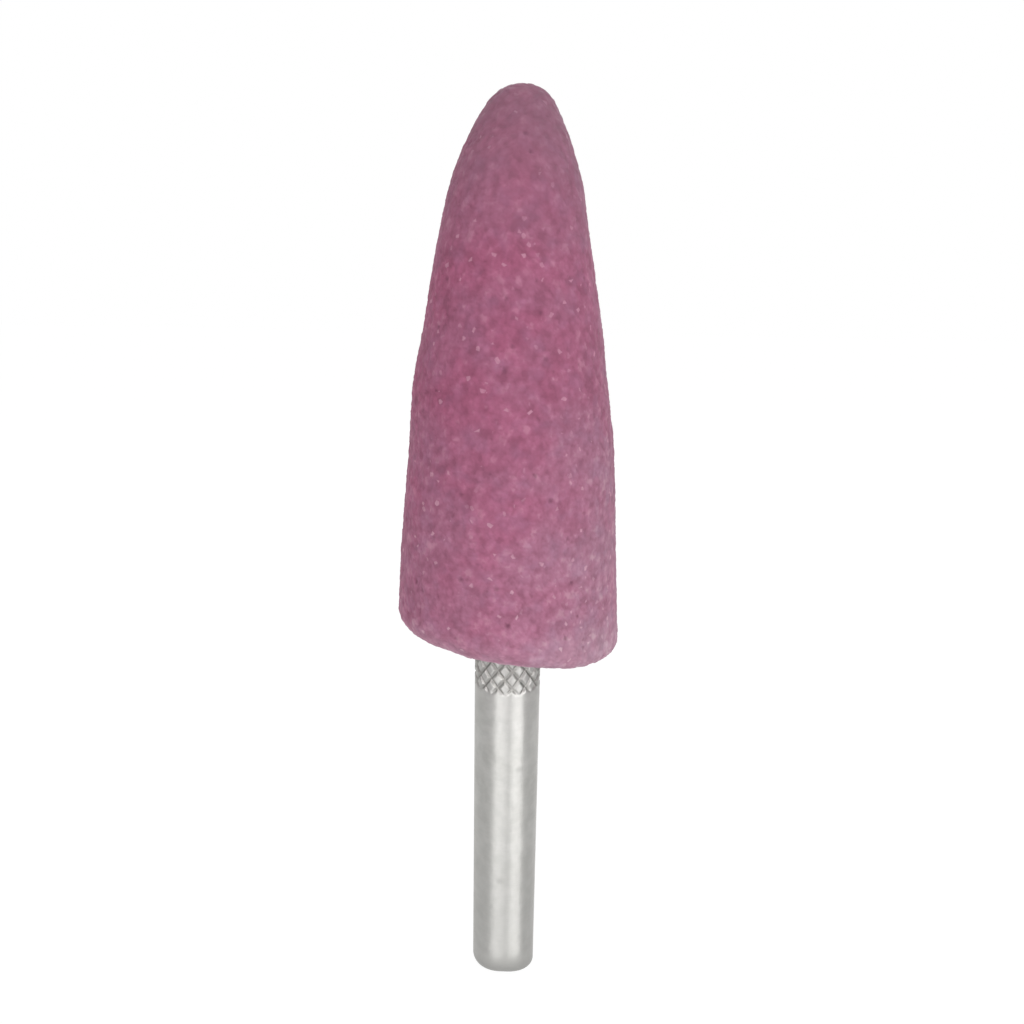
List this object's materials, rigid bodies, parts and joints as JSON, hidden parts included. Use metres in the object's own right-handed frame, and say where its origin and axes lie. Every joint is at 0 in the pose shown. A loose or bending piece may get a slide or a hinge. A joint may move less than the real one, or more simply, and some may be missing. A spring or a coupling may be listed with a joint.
{
  "type": "mounted point",
  "caption": "Pink bullet-shaped abrasive head cemented onto a plain steel shank with a knurled inner end, for grinding in a rotary tool.",
  "frame": {"origin": "centre of the shank's free end", "axes": "+Z along the axis, from the shank's free end to the tip of the head"},
  "size_m": [0.02, 0.02, 0.08],
  "materials": {
    "abrasive": "rough, open-grained",
    "steel": "satin",
    "cement": "matt"
  },
  "bodies": {
    "root": {"abrasive_head": "abrasive", "shank": "steel", "bond_cement": "cement"}
  },
  "joints": []
}
